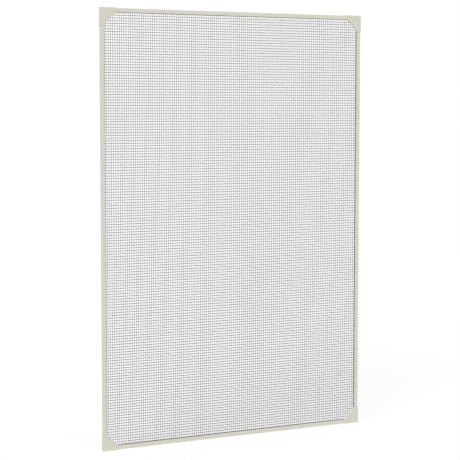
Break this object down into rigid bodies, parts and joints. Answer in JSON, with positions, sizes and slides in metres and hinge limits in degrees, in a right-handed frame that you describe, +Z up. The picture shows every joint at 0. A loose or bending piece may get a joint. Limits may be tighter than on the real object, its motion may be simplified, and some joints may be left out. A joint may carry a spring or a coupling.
{
  "type": "magnetic window insect screen",
  "caption": "Slim rectangular insect screen for a window: plastic rails and moulded corner gussets round a stretched wire mesh, held to the window frame by magnet strips behind.",
  "frame": {"origin": "middle of the whole screen", "axes": "+Z up, +X to the right seen from the front, front face towards -Y, magnet strips towards +Y"},
  "size_m": [0.8, 0.0082, 1.2],
  "materials": {
    "frame_plastic": "satin ivory extrusion",
    "corner_plastic": "satin ivory moulding",
    "magnet_rubber": "matt flexible magnet",
    "mesh_wire": "coated woven strand"
  },
  "bodies": {
    "root": {"base_rail_top": "frame_plastic", "cover_strip_top": "frame_plastic", "magnet_strip_top": "magnet_rubber", "base_rail_bottom": "frame_plastic", "cover_strip_bottom": "frame_plastic", "magnet_strip_bottom": "magnet_rubber", "base_rail_left": "frame_plastic", "cover_strip_left": "frame_plastic", "magnet_strip_left": "magnet_rubber", "base_rail_right": "frame_plastic", "cover_strip_right": "frame_plastic", "magnet_strip_right": "magnet_rubber", "corner_joint_top_left": "corner_plastic", "corner_cap_top_left": "corner_plastic", "corner_joint_top_right": "corner_plastic", "corner_cap_top_right": "corner_plastic", "corner_joint_bottom_left": "corner_plastic", "corner_cap_bottom_left": "corner_plastic", "corner_joint_bottom_right": "corner_plastic", "corner_cap_bottom_right": "corner_plastic", "mesh_screen": "mesh_wire"}
  },
  "joints": []
}
